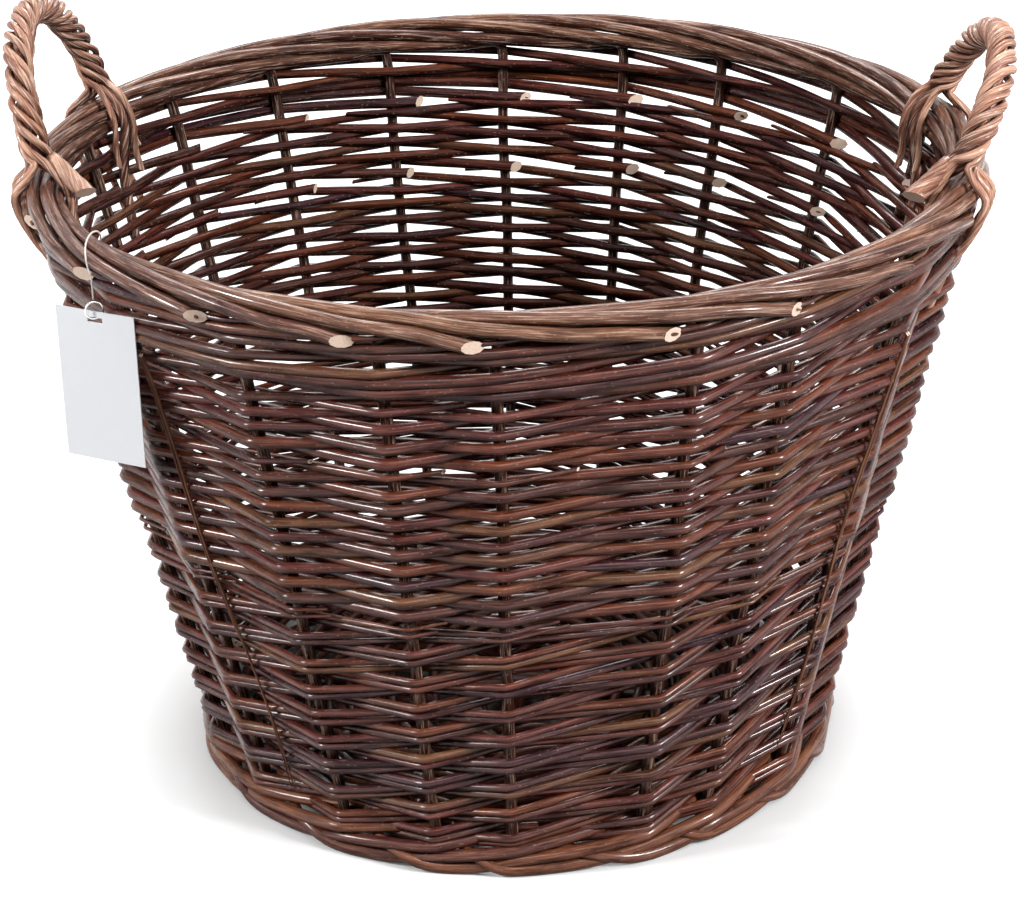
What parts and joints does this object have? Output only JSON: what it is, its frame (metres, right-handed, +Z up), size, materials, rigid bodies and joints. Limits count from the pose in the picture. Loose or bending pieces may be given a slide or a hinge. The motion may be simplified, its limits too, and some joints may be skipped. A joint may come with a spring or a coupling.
{
  "type": "wicker harvest basket",
  "caption": "Round tapered willow basket with an open weave, a thick rolled border, two roped side handles and a small hanging card tag.",
  "frame": {"origin": "centre of the foot on the floor, on the middle line of the wall", "axes": "+Z up, +X towards the right handle, -Y towards the viewer of the picture"},
  "size_m": [0.5338, 0.4917, 0.425],
  "materials": {
    "wall_willow": "unpeeled bark, satin",
    "stake_willow": "unpeeled bark, satin",
    "foot_willow": "unpeeled bark, satin",
    "base_willow": "unpeeled bark, satin",
    "handle_willow": "unpeeled bark, satin",
    "split_willow": "split rod, satin",
    "thread": "thin cotton thread",
    "ring_metal": "bright wire",
    "card": "smooth white card"
  },
  "bodies": {
    "basket": {"base_stick_1": "base_willow", "base_stick_2": "base_willow", "base_stick_3": "base_willow", "base_stick_4": "base_willow", "base_stick_5": "base_willow", "base_slath_tie": "base_willow", "base_weave": "base_willow", "foot_rods": "foot_willow", "stake_01": "stake_willow", "stake_02": "stake_willow", "stake_03": "stake_willow", "stake_04": "stake_willow", "stake_05": "stake_willow", "stake_06": "stake_willow", "stake_07": "stake_willow", "stake_08": "stake_willow", "stake_09": "stake_willow", "stake_10": "stake_willow", "stake_11": "stake_willow", "stake_12": "stake_willow", "stake_13": "stake_willow", "stake_14": "stake_willow", "stake_15": "stake_willow", "stake_16": "stake_willow", "stake_17": "stake_willow", "stake_18": "stake_willow", "stake_19": "stake_willow", "stake_20": "stake_willow", "paired_weavers": "wall_willow", "middle_weavers": "wall_willow", "upper_weavers": "wall_willow", "close_weavers": "wall_willow", "left_side_strand": "split_willow", "right_side_strand": "split_willow", "left_handle_bow": "handle_willow", "left_handle_rope": "handle_willow", "right_handle_bow": "handle_willow", "right_handle_rope": "handle_willow", "tag_thread_loop": "thread"},
    "hanger": {"tag_thread": "thread", "tag_ring": "ring_metal"},
    "card": {"tag_card": "card"}
  },
  "joints": [
    {"name": "tag_swing", "type": "hinge", "parent": "basket", "child": "hanger", "pos_m": [-0.20569, -0.14998, 0.33743], "axis": [-0.6264, 0.7795, 0], "range_deg": [0, 90]},
    {"name": "card_swing", "type": "hinge", "parent": "hanger", "child": "card", "pos_m": [-0.20569, -0.14998, 0.31418], "axis": [-0.8988, 0.4384, 0], "range_deg": [-5, 28]}
  ]
}
